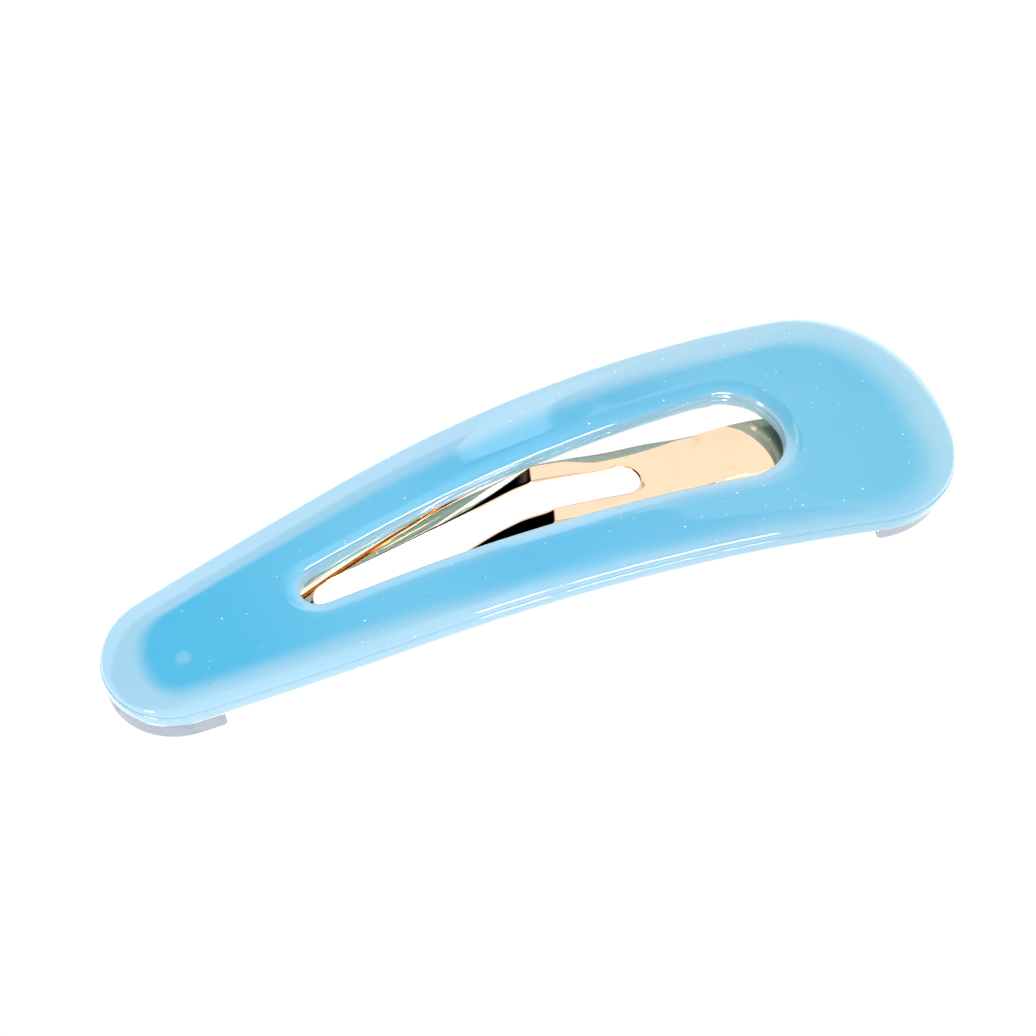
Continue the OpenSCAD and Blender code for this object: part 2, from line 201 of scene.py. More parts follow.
# Cover: a teardrop ring of milky pale blue resin, cast in one piece with soft shoulders along both
# edges and a fine cast seam round its walls. It is glued on top of the metal frame.
CLIP_LENGTH = 85
COVER_T = 2.3
TIP_R = 7.1
SHOULDER_R = 11.1
SHOULDER_Y = 1.8
END_R = 22.2
SIDE_R = 575
CROWN = 0.4
SLOPE_W, SLOPE_DROP = 3, 0.6
RIM_W, RIM_DROP = 1.8, 0.55
EDGE_R = 0.5
RIM_R = 0.4
LOWER_R, RIM_LOWER_RS = 0.3, (0.3, 0.95, 0.6)
OPENING = (19.9, CLIP_LENGTH - 16.8, 2.14, 5.06)
OPENING_SIDE_R = 1400
STRAIGHT_LENGTH = 28
ARCH_R = 104
SHEET_T = 0.5
LIP_DROPS = (1.8, 1.45)
LIP_INSETS = (0.1, 0.4)
HALF_W = SHOULDER_Y + SHOULDER_R
UNDER_COVER = -COVER_T / 2
FRAME_TOP = UNDER_COVER - 0.1
FRAME_BOTTOM = FRAME_TOP - SHEET_T


def arch(s, h):
    u = s - STRAIGHT_LENGTH
    if u < 0:
        return Vector((u, h))
    return Vector(((ARCH_R + h) * math.sin(u / ARCH_R), (ARCH_R + h) * math.cos(u / ARCH_R) - ARCH_R))


def mix(a, b, share):
    return a + (b - a) * share


def level(point, tilt):
    return Vector((point.x * math.cos(tilt) + point.y * math.sin(tilt),
                   point.y * math.cos(tilt) - point.x * math.sin(tilt)))


tip_foot = arch(LIP_INSETS[0], UNDER_COVER - LIP_DROPS[0] + CROWN)
end_foot = arch(CLIP_LENGTH - LIP_INSETS[1], UNDER_COVER - LIP_DROPS[1] + CROWN)
TILT = math.atan2(end_foot.y - tip_foot.y, end_foot.x - tip_foot.x)
wall_top = COVER_T / 2 - SLOPE_DROP + CROWN
ends_x = [level(arch(s, wall_top), TILT).x for s in (0, CLIP_LENGTH)]
CENTRE_X = sum(ends_x) / 2
FLOOR_Z = level(tip_foot, TILT).y


def press_tree():
    """Bends a flat layout, with s along x and h along z, into the clip's arch."""
    tree = bpy.data.node_groups.new("arch_press", "GeometryNodeTree")
    tree.interface.new_socket("Geometry", in_out="INPUT", socket_type="NodeSocketGeometry")
    for name in ("Straight Length", "Arch Radius", "Crown", "Half Width", "Tilt", "Centre", "Floor"):
        tree.interface.new_socket(name, in_out="INPUT", socket_type="NodeSocketFloat")
    for name in ("Material", "Lip Material", "Cut Material", "Bare Material"):
        tree.interface.new_socket(name, in_out="INPUT", socket_type="NodeSocketMaterial")
    tree.interface.new_socket("Geometry", in_out="OUTPUT", socket_type="NodeSocketGeometry")
    given = tree.nodes.new("NodeGroupInput").outputs
    place = tree.nodes.new("GeometryNodeInputPosition").outputs[0]
    parts = tree.nodes.new("ShaderNodeSeparateXYZ")
    tree.links.new(place, parts.inputs[0])
    along, across, high = parts.outputs

    def sum_of(operation, *values):
        return reckon(tree, operation, *values)

    share = sum_of("DIVIDE", across, given["Half Width"])
    fall = sum_of("SUBTRACT", 1.0, sum_of("MULTIPLY", share, share))
    lifted = sum_of("ADD", high, sum_of("MULTIPLY", given["Crown"], fall))
    u = sum_of("SUBTRACT", along, given["Straight Length"])
    straight = sum_of("MINIMUM", u, 0.0)
    angle = sum_of("DIVIDE", sum_of("MAXIMUM", u, 0.0), given["Arch Radius"])
    radius = sum_of("ADD", given["Arch Radius"], lifted)
    x = sum_of("ADD", straight, sum_of("MULTIPLY", radius, sum_of("SINE", angle)))
    z = sum_of("SUBTRACT", sum_of("MULTIPLY", radius, sum_of("COSINE", angle)), given["Arch Radius"])
    cosine, sine = sum_of("COSINE", given["Tilt"]), sum_of("SINE", given["Tilt"])
    flat_x = sum_of("ADD", sum_of("MULTIPLY", x, cosine), sum_of("MULTIPLY", z, sine))
    flat_z = sum_of("SUBTRACT", sum_of("MULTIPLY", z, cosine), sum_of("MULTIPLY", x, sine))
    joined = tree.nodes.new("ShaderNodeCombineXYZ")
    tree.links.new(sum_of("SUBTRACT", flat_x, given["Centre"]), joined.inputs["X"])
    tree.links.new(across, joined.inputs["Y"])
    tree.links.new(sum_of("SUBTRACT", flat_z, given["Floor"]), joined.inputs["Z"])
    pressed = tree.nodes.new("GeometryNodeSetPosition")
    tree.links.new(given["Geometry"], pressed.inputs["Geometry"])
    tree.links.new(joined.outputs[0], pressed.inputs["Position"])
    real = tree.nodes.new("GeometryNodeRealizeInstances")
    tree.links.new(pressed.outputs[0], real.inputs[0])
    painted = tree.nodes.new("GeometryNodeSetMaterial")
    tree.links.new(real.outputs[0], painted.inputs["Geometry"])
    tree.links.new(given["Material"], painted.inputs["Material"])
    for area in ("lip", "cut", "bare"):
        marked = tree.nodes.new("GeometryNodeInputNamedAttribute")
        marked.data_type = "BOOLEAN"
        marked.inputs["Name"].default_value = area
        before, painted = painted, tree.nodes.new("GeometryNodeSetMaterial")
        tree.links.new(before.outputs[0], painted.inputs["Geometry"])
        tree.links.new(marked.outputs["Attribute"], painted.inputs["Selection"])
        tree.links.new(given[area.capitalize() + " Material"], painted.inputs["Material"])
    out = tree.nodes.new("NodeGroupOutput")
    tree.links.new(painted.outputs[0], out.inputs[0])
    return tree


PRESS = press_tree()
PRESS_SIZES = {"Straight Length": STRAIGHT_LENGTH * MM, "Arch Radius": ARCH_R * MM, "Crown": CROWN * MM,
               "Half Width": HALF_W * MM, "Tilt": TILT, "Centre": CENTRE_X * MM, "Floor": FLOOR_Z * MM}


def run_tree(name, mesh, tree, values):
    """Runs a node tree on a mesh and gives back the result as a plain object."""
    rough = bpy.data.objects.new(name + "_rough", mesh)
    bpy.context.scene.collection.objects.link(rough)
    step = rough.modifiers.new("tree", "NODES")
    step.node_group = tree
    for item in tree.interface.items_tree:
        if item.in_out == "INPUT" and item.name in values:
            step[item.identifier] = values[item.name]
    shaped = rough.evaluated_get(bpy.context.evaluated_depsgraph_get())
    plain = bpy.data.meshes.new_from_object(shaped)
    plain.name = name
    rough.modifiers.clear()
    bpy.data.objects.remove(rough)
    piece = bpy.data.objects.new(name, plain)
    bpy.context.scene.collection.objects.link(piece)
    return piece


def ring_mesh(name, sections, values=None, areas=None):
    """A closed ring of sections, each a list of (s, y, h) in mm with as many points. Its faces point out."""
    count, points = len(sections), len(sections[0])
    spots = [[v * MM for v in point] for section in sections for point in section]
    faces = []
    for i in range(count):
        for j in range(points):
            here, there = i * points, (i + 1) % count * points
            faces.append((here + j, here + (j + 1) % points, there + (j + 1) % points, there + j))
    mesh = bpy.data.meshes.new(name)
    mesh.from_pydata(spots, [], faces)
    for key, numbers in (values or {}).items():
        attribute = mesh.attributes.new(key, "FLOAT", "POINT")
        attribute.data.foreach_set("value", numbers)
    for key, marks in (areas or {}).items():
        attribute = mesh.attributes.new(key, "BOOLEAN", "FACE")
        attribute.data.foreach_set("value", marks)
    mesh.polygons.foreach_set("use_smooth", [True] * len(faces))
    return mesh


def press(name, mesh, main, lip=None, cut=None, bare=None, sharp=30):
    materials = {"Material": main, "Lip Material": lip or main, "Cut Material": cut or main}
    materials["Bare Material"] = bare or main
    piece = run_tree(name, mesh, PRESS, {**PRESS_SIZES, **materials})
    piece.data.set_sharp_from_angle(angle=math.radians(sharp))
    return piece


# A ray is an arc's centre, radius and angle, so that an inset from the outline is exact
def ray_point(ray, inset):
    x, y, r, angle = ray
    return Vector((x + (r - inset) * math.cos(angle), y + (r - inset) * math.sin(angle)))


def side_centre(c0, r0, c1, r1, side_r):
    span = (c1 - c0).length
    e = (c1 - c0) / span
    u = ((side_r - r0) ** 2 - (side_r - r1) ** 2 + span * span) / (2 * span)
    w = math.sqrt((side_r - r0) ** 2 - u * u)
    return c0 + e * u + Vector((e.y, -e.x)) * w


def half_rays(c0, r0, c1, r1, c2, r2, side_r, beta, shares, steps):
    cs = side_centre(c0, r0, c1, r1, side_r)
    a0 = math.atan2(c0.y - cs.y, c0.x - cs.x)
    a1 = math.atan2(c1.y - cs.y, c1.x - cs.x)
    tip, shoulder, end = steps
    rays = [(c0.x, c0.y, r0, mix(math.pi, a0, i / tip)) for i in range(tip + 1)]
    rays += [(cs.x, cs.y, side_r, mix(a0, a1, share)) for share in shares]
    rays += [(c1.x, c1.y, r1, mix(a1, beta, i / shoulder)) for i in range(1, shoulder + 1)]
    return rays + [(c2.x, c2.y, r2, beta * (1 - i / end)) for i in range(1, end + 1)]


def whole_rays(half):
    return half + [(x, -y, r, -angle) for x, y, r, angle in reversed(half[1:-1])]


shoulder_x = CLIP_LENGTH - END_R + math.sqrt((END_R - SHOULDER_R) ** 2 - SHOULDER_Y ** 2)
END_ANGLE = math.asin(SHOULDER_Y / (END_R - SHOULDER_R))
TIP_CENTRE, SHOULDER_CENTRE = Vector((TIP_R, 0)), Vector((shoulder_x, SHOULDER_Y))
RING_STEPS = (36, 40, 10)


def outline_rays(shares):
    end_centre = Vector((CLIP_LENGTH - END_R, 0))
    return whole_rays(half_rays(TIP_CENTRE, TIP_R, SHOULDER_CENTRE, SHOULDER_R, end_centre, END_R, SIDE_R,
                                END_ANGLE, shares, RING_STEPS))


def hole_rays(start, end, r0, r1, side_r, count):
    shares = [(i + 1) / count for i in range(count)]
    c0, c1 = Vector((start + r0, 0)), Vector((end - r1, 0))
    return whole_rays(half_rays(c0, r0, c1, r1, c1, r1, side_r, END_ANGLE, shares, RING_STEPS))


def arc(steps, first, last):
    return [math.radians(mix(first, last, i / steps)) for i in range(steps + 1)]


def wall_and_slope(width, drop, radius, lower_r, seam, slope_steps):
    """A cover's edge as (inset, height), from the underside up to the flat top: a rounded lower edge,
    the wall with its cast seam, a rounded upper edge and the soft slope, each running on smoothly."""
    def slope(d):
        return COVER_T / 2 - drop * max(0, 1 - d / width) ** 2

    lean = 0
    for _ in range(20):
        start = radius * (1 - math.sin(lean))
        lean = math.atan(2 * drop / width * (1 - start / width))
    centre = slope(start) - radius * math.cos(lean)
    low = [(lower_r * (1 - math.sin(a)), UNDER_COVER + lower_r * (1 - math.cos(a))) for a in arc(6, 0, 90)]
    ledge = [(seam * (1 - math.cos(a)), SEAM_H + seam * math.sin(a)) for a in arc(4, 0, 90)]
    wall = [(seam, mix(SEAM_H + seam, centre, share)) for share in (0.3, 0.65)]
    top = [(seam + (radius - seam) * (1 - math.cos(a)), centre + radius * math.sin(a))
           for a in arc(9, 0, 90 - math.degrees(lean))]
    spread = [mix(start, width, (i + 1) / slope_steps) for i in range(slope_steps)]
    return low + ledge + wall + top + [(d, slope(d)) for d in spread]


SEAM_H = UNDER_COVER + 1.05
SEAM = 0.15
RIM_SEAM = 0.04
OUTER_EDGE = wall_and_slope(SLOPE_W, SLOPE_DROP, EDGE_R, LOWER_R, SEAM, 12)
TOP_ROWS = 7


def edge_3d(ray, edge, side):
    return [Vector((*ray_point(ray, side * inset), h)) for inset, h in edge]


def across(a, b, rows):
    return [a.lerp(b, (i + 1) / (rows + 1)) for i in range(rows)]


def smooth(x):
    t = min(1, max(0, x))
    return t * t * (3 - 2 * t)


def cover_section(outer, rim):
    """The rim's lower edge is rounded little at the nose, more just past it, and less again further on."""
    s = ray_point(rim, 0).x
    at_nose, past_nose, further_on = RIM_LOWER_RS
    lower_r = mix(mix(at_nose, past_nose, smooth((s - 22) / 7)), further_on, smooth((s - 36) / 12))
    a = edge_3d(outer, OUTER_EDGE, 1)
    b = edge_3d(rim, wall_and_slope(RIM_W, RIM_DROP, RIM_R, lower_r, RIM_SEAM, 10), -1)[::-1]
    return a + across(a[-1], b[0], TOP_ROWS) + b + across(b[-1], a[0], TOP_ROWS)


SIDE_STEPS = 110
even_shares = [(i + 1) / SIDE_STEPS for i in range(SIDE_STEPS)]
outer_rays = outline_rays(even_shares)
rim_rays = hole_rays(*OPENING, OPENING_SIDE_R, SIDE_STEPS)
sections = [cover_section(outer, rim) for outer, rim in zip(outer_rays, rim_rays)]


BAND_MIDDLE = 2.95


def edge_depth(ray, point):
    """How deep a point lies behind the pale outer band of painted light, which stands for the pale sheet's
    light glowing through the thinner resin near the edge. The band is wider at the ends and the far side,
    and fades out more slowly at the wide end."""
    nx, ny = math.cos(ray[3]), math.sin(ray[3])
    inset = (Vector(point[:2]) - ray_point(ray, 0)).length
    narrower = 1.1 * max(0, -ny) * smooth((point[0] - 22) / 24)
    wider = 0.6 * max(0, ny) * smooth((point[0] - 56) / 12)
    depth = inset - 0.83 * (0.4 * nx + 0.916 * ny) - 1.25 * nx * nx + narrower - wider
    return mix(depth, BAND_MIDDLE, 0.45 * smooth((point[0] - 50) / 14))


# Painted light at the opening: a painted glow through its wall, and a painted reflection along its rim at
# the near side, the nose and the wide end
WALL_PAINTED_LIGHT, WIDE_WALL_PAINTED_LIGHT, WALL_FADE = 0.15, 0.4, 0.45
NEAR_PAINTED_LIGHTS, NOSE_PAINTED_LIGHT, WIDE_PAINTED_LIGHT = (0.22, 0.42), 0.17, 0.16


def rim_painted_light(ray, point):
    """How much painted light whitens the resin at the opening: a painted glow through its shaded wall, and a
    painted reflection along the rim above it.
    """
    nx, ny = math.cos(ray[3]), math.sin(ray[3])
    away = (Vector(point[:2]) - ray_point(ray, 0)).length
    near = max(0, -ny)
    rim = mix(*NEAR_PAINTED_LIGHTS, smooth((point[0] - 24) / 22)) * near
    rim += NOSE_PAINTED_LIGHT * max(0, -nx) + WIDE_PAINTED_LIGHT * max(0, nx)
    wall = mix(WALL_PAINTED_LIGHT, WIDE_WALL_PAINTED_LIGHT, max(0, nx)) * (1 - smooth(away / WALL_FADE))
    return max(rim * (1 - smooth(away / mix(0.9, 2.6, max(near, 0.6 * nx)))), wall)


depths = [edge_depth(ray, p) for ray, section in zip(outer_rays, sections) for p in section]
rim_painted_lights = [rim_painted_light(ray, p) for ray, section in zip(rim_rays, sections) for p in section]

milky_resin, tree, coat = material("milky_resin")
RESIN_COLOURS = [
    # distance along the clip in mm, the resin's blue, and the white that painted light and the resin's
    # clouds mix into it; both are darker towards the wide end as painted shade
    (-34, (0.10, 0.52, 0.80, 1), (0.94, 0.96, 0.97, 1)),
    (-14, (0.17, 0.565, 0.82, 1), (0.74, 0.815, 0.86, 1)),
    (2, (0.13, 0.52, 0.79, 1), (0.78, 0.83, 0.86, 1)),
    (16, (0.12, 0.485, 0.72, 1), (0.76, 0.815, 0.85, 1)),
    (42, (0.065, 0.455, 0.68, 1), (0.70, 0.81, 0.855, 1)),
]
# How strongly the painted light of the pale outer band whitens the resin
EDGE_PAINTED_LIGHT = 0.345
# A small round paler spot on the top of the cover near the nose
PALE_SPOT = (-34.8 * MM, -1.4 * MM, 5.3 * MM)


def colours_along(tree, x, column):
    node = tree.nodes.new("ShaderNodeValToRGB")
    node.color_ramp.interpolation = "EASE"
    stops = node.color_ramp.elements
    for i, row in enumerate(RESIN_COLOURS):
        stop = stops[i] if i < 2 else stops.new(1)
        stop.position = 0.5 + row[0] / CLIP_LENGTH
    for stop, row in zip(stops, RESIN_COLOURS):
        stop.color = row[column]
    share = reckon(tree, "MULTIPLY_ADD", x, 1 / (CLIP_LENGTH * MM), 0.5)
    tree.links.new(share, node.inputs[0])
    return node.outputs[0]


def attribute(tree, name):
    node = tree.nodes.new("ShaderNodeAttribute")
    node.attribute_name = name
    return node.outputs["Fac"]


def noise(tree, scale, detail=2.0, coords=None):
    node = tree.nodes.new("ShaderNodeTexNoise")
    node.inputs["Scale"].default_value = scale
    node.inputs["Detail"].default_value = detail
    place = coords or tree.nodes.new("ShaderNodeTexCoord").outputs["Object"]
    tree.links.new(place, node.inputs["Vector"])
    return node.outputs["Fac"]


def blend_colours(tree, factor, first, second):
    node = tree.nodes.new("ShaderNodeMix")
    node.data_type = "RGBA"
    wire(tree, factor, node.inputs[0])
    wire(tree, first, node.inputs[6])
    wire(tree, second, node.inputs[7])
    return node.outputs[2]


place = tree.nodes.new("ShaderNodeTexCoord").outputs["Object"]
parts = tree.nodes.new("ShaderNodeSeparateXYZ")
tree.links.new(place, parts.inputs[0])
cloud = reckon(tree, "SUBTRACT", noise(tree, 160, 3.0, place), 0.5)
depth = reckon(tree, "ADD", attribute(tree, "edge_depth"), reckon(tree, "MULTIPLY", cloud, 0.7))
# The pale outer band: painted light glowing through the thin edge of the resin
edge_painted_light = reckon(tree, "MULTIPLY", rise(tree, depth, 4.1, 1.8), EDGE_PAINTED_LIGHT)
spot = tree.nodes.new("ShaderNodeVectorMath")
spot.operation = "DISTANCE"
tree.links.new(place, spot.inputs[0])
spot.inputs[1].default_value = PALE_SPOT
spot_mask = reckon(tree, "MULTIPLY", rise(tree, spot.outputs["Value"], 0.95 * MM, 0.45 * MM), 0.14)
# The blue is whitened by painted light at the outer band and at the opening, by a pale spot, and a little by
# the resin's own clouds
painted_light_and_cloud = reckon(tree, "ADD", reckon(tree, "MAXIMUM", edge_painted_light, attribute(tree, "rim_painted_light")), spot_mask)
painted_light_and_cloud = reckon(tree, "ADD", painted_light_and_cloud, reckon(tree, "MULTIPLY", cloud, 0.06))
blue, white = [colours_along(tree, parts.outputs["X"], column) for column in (1, 2)]
wire(tree, blend_colours(tree, painted_light_and_cloud, blue, white), coat.inputs["Base Color"])
fine_ripple = reckon(tree, "MULTIPLY", noise(tree, 3200, 1.0, place), 0.3)
ripple = reckon(tree, "ADD", noise(tree, 700, 1.0, place), fine_ripple)
bump = tree.nodes.new("ShaderNodeBump")
bump.inputs["Strength"].default_value = 0.25
bump.inputs["Distance"].default_value = 0.02 * MM
wire(tree, ripple, bump.inputs["Height"])
wire(tree, bump.outputs[0], coat.inputs["Normal"])
coat.inputs["Roughness"].default_value = 0.04
coat.inputs["Subsurface Weight"].default_value = 0.15
coat.inputs["Subsurface Radius"].default_value = (0.6, 0.9, 1.0)
coat.inputs["Subsurface Scale"].default_value = 1.2 * MM
coat.inputs["Coat Weight"].default_value = 1
coat.inputs["Coat Roughness"].default_value = 0.02
cover_mesh = ring_mesh("resin_cover", sections, {"edge_depth": depths, "rim_painted_light": rim_painted_lights})
cover = press("resin_cover", cover_mesh, milky_resin)
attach(cover, "clip")
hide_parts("cover")

# Flakes: fine film glitter stirred into the resin before it is cast. Most of it lies too deep to show. A few
# flakes at the surface are coloured white or pale blue as a painted sparkle, or dark as painted shade where
# they would face away.
FLAKE_SLANT = 0.12
FLAKE_SIZES = (0.55, 1.25)
FLAKES = {
    # name: flakes to a square metre, radius in mm, two colours, seed
    "painted_sparkle_flakes": (26000, 0.085, (1.0, 1.0, 1.0, 1), (0.85, 0.95, 1.0, 1), 4),
    "pale_flakes": (90000, 0.07, (0.55, 0.8, 0.93, 1), (0.4, 0.72, 0.88, 1), 11),
    "painted_shade_flakes": (16000, 0.055, (0.05, 0.26, 0.42, 1), (0.1, 0.34, 0.5, 1), 23),
}
FLAKE_T = 0.02


def scatter_tree():
    """Scatters closed six sided flakes over a surface, each lying a little aslant in it."""
    tree = bpy.data.node_groups.new("flake_scatter", "GeometryNodeTree")
    tree.interface.new_socket("Geometry", in_out="INPUT", socket_type="NodeSocketGeometry")
    for name in ("Density", "Radius", "Thickness"):
        tree.interface.new_socket(name, in_out="INPUT", socket_type="NodeSocketFloat")
    tree.interface.new_socket("Seed", in_out="INPUT", socket_type="NodeSocketInt")
    tree.interface.new_socket("Material", in_out="INPUT", socket_type="NodeSocketMaterial")
    tree.interface.new_socket("Geometry", in_out="OUTPUT", socket_type="NodeSocketGeometry")
    given = tree.nodes.new("NodeGroupInput").outputs
    points = tree.nodes.new("GeometryNodeDistributePointsOnFaces")
    tree.links.new(given["Geometry"], points.inputs["Mesh"])
    tree.links.new(given["Density"], points.inputs["Density"])
    tree.links.new(given["Seed"], points.inputs["Seed"])
    flake = tree.nodes.new("GeometryNodeMeshCylinder")
    flake.inputs["Vertices"].default_value = 6
    tree.links.new(given["Radius"], flake.inputs["Radius"])
    tree.links.new(given["Thickness"], flake.inputs["Depth"])
    slant = tree.nodes.new("FunctionNodeRandomValue")
    slant.data_type = "FLOAT_VECTOR"
    slant.inputs[0].default_value = (-FLAKE_SLANT, -FLAKE_SLANT, 0)
    slant.inputs[1].default_value = (FLAKE_SLANT, FLAKE_SLANT, math.tau)
    tree.links.new(given["Seed"], slant.inputs["Seed"])
    turned = tree.nodes.new("FunctionNodeRotateRotation")
    turned.rotation_space = "LOCAL"
    tree.links.new(points.outputs["Rotation"], turned.inputs["Rotation"])
    tree.links.new(slant.outputs[0], turned.inputs["Rotate By"])
    size = tree.nodes.new("FunctionNodeRandomValue")
    size.inputs[2].default_value, size.inputs[3].default_value = FLAKE_SIZES
    tree.links.new(given["Seed"], size.inputs["Seed"])
    spread = tree.nodes.new("GeometryNodeInstanceOnPoints")
    tree.links.new(points.outputs["Points"], spread.inputs["Points"])
    tree.links.new(flake.outputs["Mesh"], spread.inputs["Instance"])
    tree.links.new(turned.outputs[0], spread.inputs["Rotation"])
    tree.links.new(size.outputs[1], spread.inputs["Scale"])
    real = tree.nodes.new("GeometryNodeRealizeInstances")
    tree.links.new(spread.outputs[0], real.inputs[0])
    painted = tree.nodes.new("GeometryNodeSetMaterial")
    tree.links.new(real.outputs[0], painted.inputs["Geometry"])
    tree.links.new(given["Material"], painted.inputs["Material"])
    tree.links.new(painted.outputs[0], tree.nodes.new("NodeGroupOutput").inputs[0])
    return tree


SCATTER = scatter_tree()
for name, (density, radius, first, second, seed) in FLAKES.items():
    film, tree, coat = material(name)
    wire(tree, blend_colours(tree, noise(tree, 1500), first, second), coat.inputs["Base Color"])
    coat.inputs["Roughness"].default_value = 0.2
    values = {"Density": density, "Radius": radius * MM, "Thickness": FLAKE_T * MM, "Seed": seed}
    values["Material"] = film
    # The flakes are strewn from inside the resin, over the inner side of its skin
    skin = cover.data.copy()
    skin.flip_normals()
    flakes = run_tree(name, skin, SCATTER, values)
    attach(flakes, "clip")

# Frame: one sheet of plated spring steel with a long window. Its rim is turned down into a satin lip
# at each end, and the rest of it lies hidden under the cover.
WINDOW = (19, CLIP_LENGTH - 11.6, 1.0, 5.7)
WINDOW_SIDE_R = 200
BEND_R = 0.3
ARM_INSET = 1
LIP_RUNS = (2.6, 0.1)
LIP_CORNER = 0.45
CUT_EDGE = 0.06
ARM_STEPS = 70

cs = side_centre(TIP_CENTRE, TIP_R, SHOULDER_CENTRE, SHOULDER_R, SIDE_R)
SIDE_SPAN = [cs.x + SIDE_R * (c.x - cs.x) / (c - cs).length for c in (TIP_CENTRE, SHOULDER_CENTRE)]
TIP_LIP_END = SIDE_SPAN[0] + LIP_RUNS[0]
END_LIP_END = SIDE_SPAN[1] - LIP_RUNS[1]
LIP_CUT = 0.02
NOTCH = 0.3


def side_share(s):
    return (s - SIDE_SPAN[0]) / (SIDE_SPAN[1] - SIDE_SPAN[0])


turns = [LIP_CORNER * math.sin(math.radians(15 * i)) for i in range(7)]
stops = [SIDE_SPAN[0] + 0.4, SIDE_SPAN[0] + 0.9] + [TIP_LIP_END - LIP_CORNER + t for t in turns]
stops += [TIP_LIP_END + LIP_CUT, TIP_LIP_END + NOTCH]
stops += [mix(TIP_LIP_END + NOTCH, END_LIP_END - NOTCH, (i + 1) / ARM_STEPS) for i in range(ARM_STEPS)]
stops += [END_LIP_END - LIP_CUT, END_LIP_END, SIDE_SPAN[1]]
frame_shares = [side_share(s) for s in stops]


def rounding(past):
    """How much of the lip's depth is cut away by its rounded corner, past its start."""
    return LIP_CORNER - math.sqrt(max(0, LIP_CORNER ** 2 - min(LIP_CORNER, max(0, past)) ** 2))


def frame_size(s):
    """The sheet's inset and its lowest height at s, and whether it is a lip there."""
    if s < TIP_LIP_END + LIP_CUT / 2:
        low = UNDER_COVER - LIP_DROPS[0] + rounding(s - TIP_LIP_END + LIP_CORNER)
        return LIP_INSETS[0], low, True
    if s > END_LIP_END - LIP_CUT / 2:
        low = UNDER_COVER - LIP_DROPS[1] + rounding(END_LIP_END + LIP_CORNER - s)
        return LIP_INSETS[1], low, True
    if s < TIP_LIP_END + NOTCH / 2:
        return LIP_INSETS[0], FRAME_BOTTOM, False
    if s > END_LIP_END - NOTCH / 2:
        return LIP_INSETS[1], FRAME_BOTTOM, False
    return ARM_INSET, FRAME_BOTTOM, False


FRAME_ROWS = 6
# The punch rolls the sheet's upper edge down along the window: inset from the cut, and drop
WINDOW_ROLL = [(0.62, 0), (0.54, 0.014), (0.46, 0.042), (0.38, 0.073), (0.3, 0.105), (0.22, 0.137),
               (0.16, 0.162), (0.13, 0.18)]


def frame_section(outer, window):
    inset, low, is_lip = frame_size(ray_point(outer, 0).x)
    edge = [(inset + SHEET_T + 0.1, FRAME_BOTTOM)]
    if is_lip:
        edge += [(inset + SHEET_T, FRAME_BOTTOM - 0.1), (inset + SHEET_T, low + CUT_EDGE)]
        edge += [(inset + SHEET_T - CUT_EDGE, low)]
    else:
        edge += [(inset + SHEET_T * share, FRAME_BOTTOM) for share in (1, 0.7, 0.4)]
    edge += [(inset + CUT_EDGE, low), (inset, low + CUT_EDGE)]
    edge += [(inset, mix(low + CUT_EDGE, FRAME_TOP - BEND_R, share)) for share in (0.33, 0.66)]
    edge += [(inset + BEND_R * (1 - math.cos(a)), FRAME_TOP - BEND_R + BEND_R * math.sin(a))
             for a in arc(6, 0, 90)]
    cut = [(-inset, FRAME_TOP - drop) for inset, drop in WINDOW_ROLL]
    cut += [(0, FRAME_BOTTOM + CUT_EDGE), (-CUT_EDGE, FRAME_BOTTOM)]
    a = edge_3d(outer, edge, 1)
    b = [Vector((*ray_point(window, inset), h)) for inset, h in cut]
    return a + across(a[-1], b[0], FRAME_ROWS) + b + across(b[-1], a[0], FRAME_ROWS)


frame_outer = outline_rays(frame_shares)
frame_window = hole_rays(*WINDOW, WINDOW_SIDE_R, len(frame_shares))
sections = [frame_section(outer, window) for outer, window in zip(frame_outer, frame_window)]
LIP_POINTS = 14
CUT_POINT = len(sections[0]) - FRAME_ROWS - 3
lip_faces, cut_faces, painted_glint_faces = [], [], []
for outer in frame_outer:
    is_lip = frame_size(ray_point(outer, 0).x)[2]
    lip_faces += [is_lip and j < LIP_POINTS for j in range(len(sections[0]))]
    # The window's cut faces take a dark orange painted reflection and painted shade
    cut_faces += [j in (CUT_POINT, CUT_POINT + 1) for j in range(len(sections[0]))]
    # The rolled faces above the window's cut take a pale gold painted reflection
    painted_glint_faces += [CUT_POINT - len(WINDOW_ROLL) < j < CUT_POINT for j in range(len(sections[0]))]


